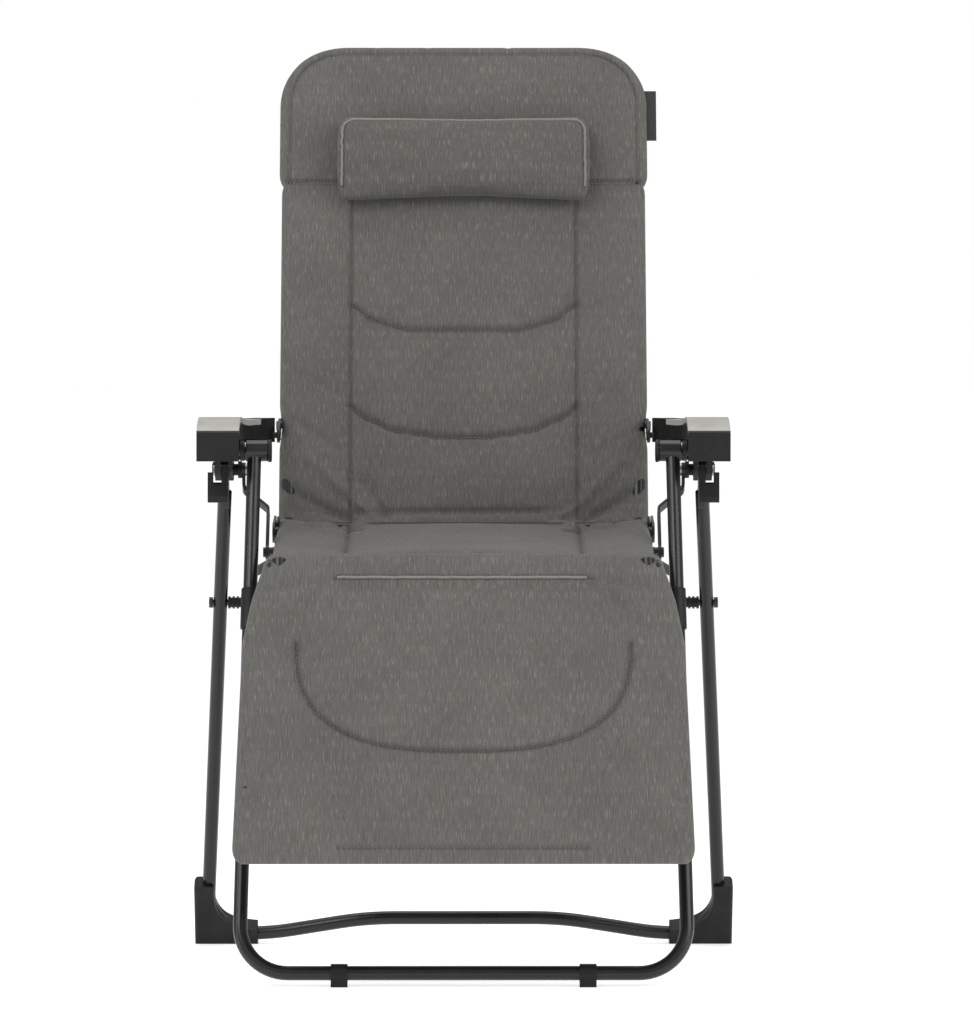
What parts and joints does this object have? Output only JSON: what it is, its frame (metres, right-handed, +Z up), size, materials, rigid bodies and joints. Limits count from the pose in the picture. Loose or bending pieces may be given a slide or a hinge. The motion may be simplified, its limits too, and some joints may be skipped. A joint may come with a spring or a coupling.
{
  "type": "zero gravity recliner",
  "caption": "Folding zero gravity recliner with tubular leg frames, sliding lock armrests, padded sling cover and a bolster head pillow.",
  "frame": {"origin": "on the floor, under the middle of the chair's box at rest", "axes": "+X to the right seen from the front, across the chair; +Y from the leg rest to the back; +Z up"},
  "size_m": [0.72, 0.8382, 1.2048],
  "materials": {
    "cover_fabric": "heathered dark grey woven polyester",
    "pillow_fabric": "heathered dark grey woven polyester",
    "label": "plain black woven tape",
    "arm_cover": "satin light grey",
    "powder_coated_tube": "black powder coat, semi-gloss",
    "powder_coated_flat": "black powder coat, satin",
    "black_steel": "blackened rivets and bolts",
    "zinc_steel": "zinc plated",
    "black_plastic": "matte moulded"
  },
  "bodies": {
    "rear_legs": {"rear_leg_tube": "powder_coated_tube", "rear_foot_left": "black_plastic", "rear_foot_right": "black_plastic", "link_bolts": "black_steel"},
    "front_legs": {"front_leg_tube": "powder_coated_tube", "front_hinge_barrel_left": "powder_coated_tube", "front_hinge_barrel_right": "powder_coated_tube", "hinge_caps": "black_plastic", "front_leg_sleeve_left": "black_plastic", "front_leg_sleeve_right": "black_plastic", "front_foot_clips": "black_plastic"},
    "lock_blocks": {"lock_housing_left": "black_plastic", "lock_housing_right": "black_plastic", "lock_shafts": "zinc_steel", "hinge_pins": "black_steel", "lever_pins": "zinc_steel"},
    "lever_left": {"lock_lever_left": "black_plastic"},
    "lever_right": {"lock_lever_right": "black_plastic"},
    "shaft_spacers": {"shaft_spacers": "black_plastic"},
    "hangers": {"hanger_link_left": "powder_coated_flat", "hanger_link_right": "powder_coated_flat", "hanger_bolts": "black_steel"},
    "link_spacers": {"link_spacers": "black_plastic"},
    "rear_links": {"rear_link_left": "powder_coated_flat", "rear_link_right": "powder_coated_flat", "rear_link_bolts": "black_steel"},
    "armrests": {"armrest_base_left": "black_plastic", "armrest_base_right": "black_plastic", "armrest_cover_left": "arm_cover", "armrest_cover_right": "arm_cover", "armrest_rails": "zinc_steel", "arm_rear_pins": "black_steel"},
    "arm_brackets": {"arm_bracket_left": "powder_coated_flat", "arm_bracket_right": "powder_coated_flat"},
    "back": {"back_frame": "powder_coated_tube", "back_lower_bar": "powder_coated_tube", "back_pins": "black_steel", "back_pad": "cover_fabric", "head_pad": "cover_fabric", "head_pillow": "pillow_fabric", "side_label": "label"},
    "hip_plates": {"hip_plates": "powder_coated_flat"},
    "seat": {"seat_rail_left": "powder_coated_tube", "seat_rail_right": "powder_coated_tube", "seat_cross_bars": "powder_coated_tube", "seat_bracket_left": "powder_coated_flat", "seat_bracket_right": "powder_coated_flat", "seat_pins": "black_steel", "knee_plates": "powder_coated_flat", "knee_pins": "black_steel", "seat_pad": "cover_fabric"},
    "leg_rest": {"legrest_frame": "powder_coated_tube", "legrest_pad": "cover_fabric", "legrest_clips": "black_plastic"}
  },
  "joints": [
    {"name": "fold", "type": "hinge", "parent": "rear_legs", "child": "lock_blocks", "pos_m": [0, 0, 0.64], "axis": [-1, 0, 0], "range_deg": [0, 40.94]},
    {"name": "recline", "type": "hinge", "parent": "arm_brackets", "child": "back", "pos_m": [0, 0.231, 0.695], "axis": [-1, 0, 0], "range_deg": [0, 34.08]},
    {"name": "front_leg_fold", "type": "hinge", "parent": "lock_blocks", "child": "front_legs", "pos_m": [0, -0.065, 0.665], "axis": [1, 0, 0], "range_deg": [0, 87.01]},
    {"name": "arm_slide", "type": "slide", "parent": "lock_blocks", "child": "armrests", "axis": [0, 0.9529, -0.3032], "range_m": [0, 0.0166]},
    {"name": "arm_bracket_fold", "type": "hinge", "parent": "armrests", "child": "arm_brackets", "pos_m": [0, 0.1662, 0.68315], "axis": [1, 0, 0], "range_deg": [0, 79]},
    {"name": "hip_recline", "type": "hinge", "parent": "back", "child": "hip_plates", "pos_m": [0, 0.175, 0.545], "axis": [1, 0, 0], "range_deg": [0, 23.2]},
    {"name": "hip_fold", "type": "hinge", "parent": "hip_plates", "child": "seat", "pos_m": [0, 0.12905, 0.565], "axis": [-1, 0, 0], "range_deg": [0, 115.9]},
    {"name": "knee_fold", "type": "hinge", "parent": "seat", "child": "leg_rest", "pos_m": [0, -0.25, 0.52], "axis": [-1, 0, 0], "range_deg": [0, 36.2]},
    {"name": "spacer_fold", "type": "hinge", "parent": "rear_legs", "child": "shaft_spacers", "pos_m": [0, 0, 0.64], "axis": [1, 0, 0], "range_deg": [0, 122]},
    {"name": "hanger_recline", "type": "hinge", "parent": "shaft_spacers", "child": "hangers", "pos_m": [0, 0, 0.64], "axis": [-1, 0, 0], "range_deg": [0, 54]},
    {"name": "link_spacer_fold", "type": "hinge", "parent": "rear_legs", "child": "link_spacers", "pos_m": [0, 0.08498, 0.4655], "axis": [-1, 0, 0], "range_deg": [0, 74.6]},
    {"name": "rear_link_recline", "type": "hinge", "parent": "link_spacers", "child": "rear_links", "pos_m": [0, 0.08498, 0.4655], "axis": [1, 0, 0], "range_deg": [0, 39.9]},
    {"name": "lever_left_turn", "type": "hinge", "parent": "lock_blocks", "child": "lever_left", "pos_m": [0, -0.03, 0.646], "axis": [-1, 0, 0], "range_deg": [0, 50]},
    {"name": "lever_right_turn", "type": "hinge", "parent": "lock_blocks", "child": "lever_right", "pos_m": [0, -0.03, 0.646], "axis": [-1, 0, 0], "range_deg": [0, 50]}
  ],
  "couplings": [
    {"joint": "front_leg_fold", "follows": "fold", "ratio": 2.1204},
    {"joint": "arm_slide", "follows": "recline", "m_per_rad": 0.027673},
    {"joint": "arm_bracket_fold", "follows": "fold", "ratio": 1.9248},
    {"joint": "hip_recline", "follows": "recline", "ratio": 0.67576},
    {"joint": "hip_fold", "follows": "fold", "ratio": 2.8249},
    {"joint": "knee_fold", "follows": "fold", "ratio": 0.87934},
    {"joint": "spacer_fold", "follows": "fold", "ratio": 2.9751},
    {"joint": "hanger_recline", "follows": "recline", "ratio": 1.5786},
    {"joint": "link_spacer_fold", "follows": "fold", "ratio": 1.8173},
    {"joint": "rear_link_recline", "follows": "recline", "ratio": 1.1649}
  ]
}
